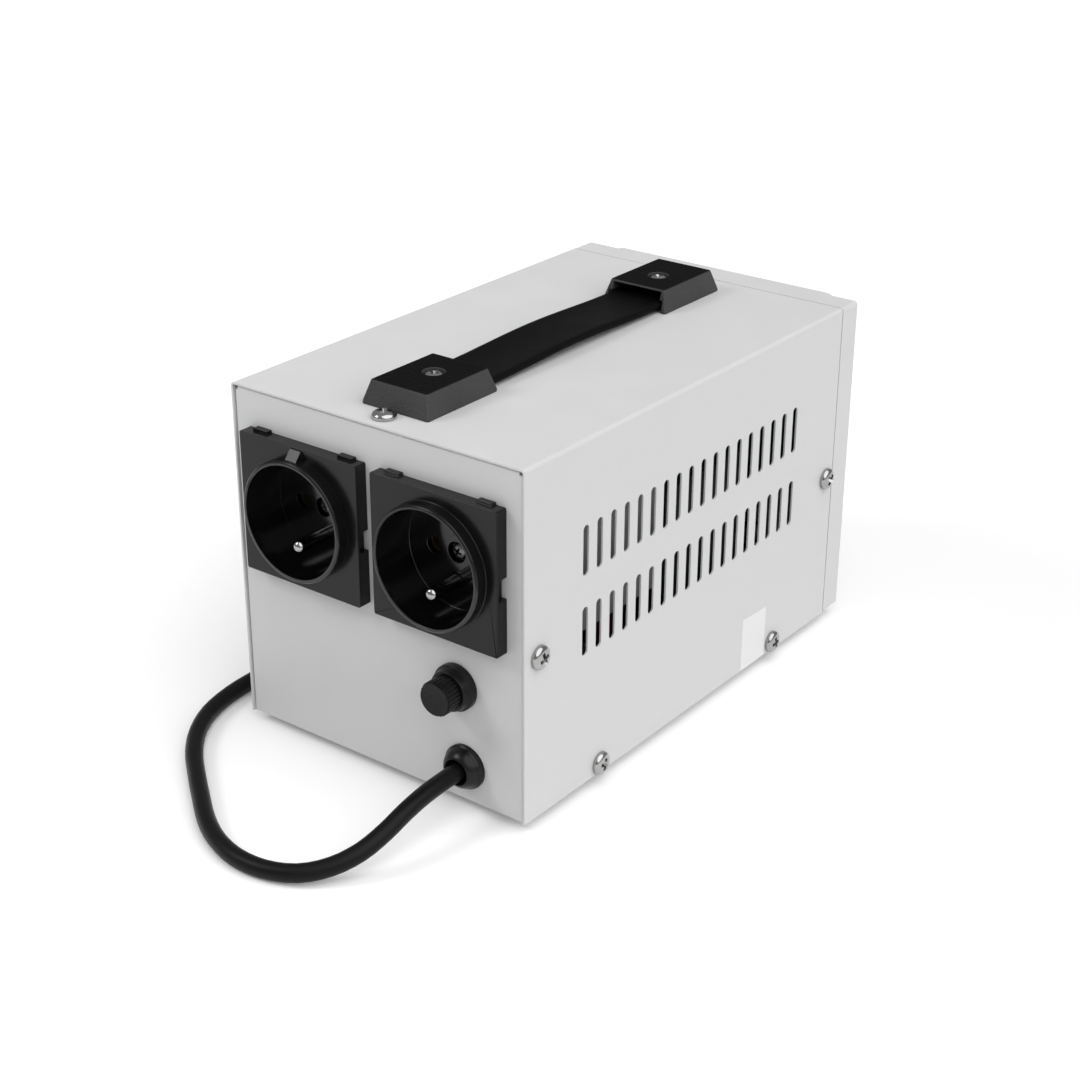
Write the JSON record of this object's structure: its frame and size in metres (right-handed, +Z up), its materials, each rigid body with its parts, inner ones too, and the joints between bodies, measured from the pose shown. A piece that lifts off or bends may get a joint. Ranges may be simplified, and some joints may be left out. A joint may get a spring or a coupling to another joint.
{
  "type": "voltage stabilizer",
  "caption": "Sheet-steel voltage stabilizer with two earthed outlets and a fuse holder at the rear, a carrying strap, a front display with switches, and a supply cord with plug",
  "frame": {"origin": "on the floor under the feet, midway between the front-most and rear-most points of the case and midway between its sides; the free cord is not counted", "axes": "+Z up; +Y toward the rear panel with the outlets; +X to the left of a person who stands in front of the rear panel looking at it, so it points to the left outlet"},
  "size_m": [0.2322, 0.3456, 0.1395],
  "materials": {
    "case_paint": "satin",
    "front_plastic": "satin",
    "outlet_plastic": "polished",
    "handle_plastic": "matte",
    "strap_rubber": "matte",
    "foot_rubber": "matte",
    "cord_jacket": "satin",
    "small_plastic": "satin",
    "screw_steel": "polished",
    "sheet_steel": "satin",
    "core_steel": "satin",
    "contact_brass": "satin",
    "winding_copper": "satin",
    "bobbin_nylon": "matte",
    "board": "satin",
    "relay_case": "polished",
    "window_lens": "polished",
    "light_red": "polished",
    "fuse_metal": "polished",
    "wire_cover": "satin"
  },
  "bodies": {
    "case": {"base_chassis": "case_paint", "top_cover": "case_paint", "front_bezel": "front_plastic", "bezel_screws": "screw_steel", "display_window": "window_lens", "display_module": "small_plastic", "display_board": "board", "display_screws": "screw_steel", "indicator_lights": "light_red", "power_switch_body": "small_plastic", "delay_switch_body": "small_plastic", "handle_cap_rear": "handle_plastic", "handle_cap_front": "handle_plastic", "handle_screws": "screw_steel", "handle_nuts": "sheet_steel", "outlet_body_left": "outlet_plastic", "outlet_body_right": "outlet_plastic", "outlet_earth_pins": "screw_steel", "outlet_contacts": "contact_brass", "outlet_screws": "screw_steel", "fuse_holder_body": "small_plastic", "fuse_holder_nut": "small_plastic", "cord_grommet": "outlet_plastic", "inner_cord": "cord_jacket", "power_cord": "cord_jacket", "cord_coil": "cord_jacket", "cord_tail": "cord_jacket", "plug_body": "cord_jacket", "plug_pins": "screw_steel", "plug_strain_relief": "cord_jacket", "cover_screws": "screw_steel", "rubber_feet": "foot_rubber", "foot_screws": "screw_steel", "transformer_core": "core_steel", "transformer_bobbin": "bobbin_nylon", "transformer_winding": "winding_copper", "transformer_brackets": "sheet_steel", "transformer_bolts": "sheet_steel", "transformer_screws": "sheet_steel", "transformer_nuts": "sheet_steel", "control_board": "board", "board_standoffs": "contact_brass", "board_screws": "screw_steel", "board_relays": "relay_case", "board_capacitors": "small_plastic", "board_terminals": "board", "mains_wires": "wire_cover", "switch_wires": "wire_cover", "outlet_wires": "wire_cover", "transformer_leads": "wire_cover", "earth_stud": "sheet_steel"},
    "rocker": {"power_rocker": "small_plastic"},
    "delay_cap": {"delay_button": "small_plastic"},
    "fuse_link": {"fuse_cartridge": "fuse_metal"},
    "fuse_knob": {"fuse_cap": "small_plastic"},
    "strap_rear": {"strap_rear_end": "strap_rubber"},
    "strap_arm_rear": {"strap_rear_arm": "strap_rubber"},
    "strap_middle": {"strap_grip": "strap_rubber"},
    "strap_arm_front": {"strap_front_arm": "strap_rubber"},
    "strap_front": {"strap_front_end": "strap_rubber"}
  },
  "joints": [
    {"name": "rocker_tilt", "type": "hinge", "parent": "case", "child": "rocker", "pos_m": [-0.024, -0.1058, 0.032], "axis": [-1, 0, 0], "range_deg": [0, 17]},
    {"name": "delay_button_press", "type": "slide", "parent": "case", "child": "delay_cap", "axis": [0, 1, 0], "range_m": [0, 0.002], "stiffness_N_per_m": 400, "springref_m": -0.001},
    {"name": "fuse_pull", "type": "slide", "parent": "case", "child": "fuse_link", "axis": [0, 1, 0], "range_m": [0, 0.026]},
    {"name": "fuse_turn", "type": "hinge", "parent": "fuse_link", "child": "fuse_knob", "pos_m": [-0.0342, 0.1075, 0.0468], "axis": [0, 1, 0], "range_deg": [0, 60]},
    {"name": "strap_slide", "type": "slide", "parent": "case", "child": "strap_rear", "axis": [0, -1, 0], "range_m": [0, 0.00517]},
    {"name": "strap_lift", "type": "hinge", "parent": "strap_rear", "child": "strap_arm_rear", "pos_m": [0, 0.049, 0.1335], "axis": [-1, 0, 0], "range_deg": [0, 32]},
    {"name": "strap_grip_level", "type": "hinge", "parent": "strap_arm_rear", "child": "strap_middle", "pos_m": [0, 0.015, 0.1335], "axis": [-1, 0, 0], "range_deg": [-32, 0]},
    {"name": "strap_front_fold", "type": "hinge", "parent": "strap_middle", "child": "strap_arm_front", "pos_m": [0, -0.011, 0.1335], "axis": [-1, 0, 0], "range_deg": [-32, 0]},
    {"name": "strap_front_level", "type": "hinge", "parent": "strap_arm_front", "child": "strap_front", "pos_m": [0, -0.045, 0.1335], "axis": [-1, 0, 0], "range_deg": [0, 32]}
  ],
  "couplings": [
    {"joint": "strap_lift", "follows": "strap_slide", "rad_per_m": 108},
    {"joint": "strap_grip_level", "follows": "strap_slide", "rad_per_m": -108},
    {"joint": "strap_front_fold", "follows": "strap_slide", "rad_per_m": -108},
    {"joint": "strap_front_level", "follows": "strap_slide", "rad_per_m": 108}
  ]
}
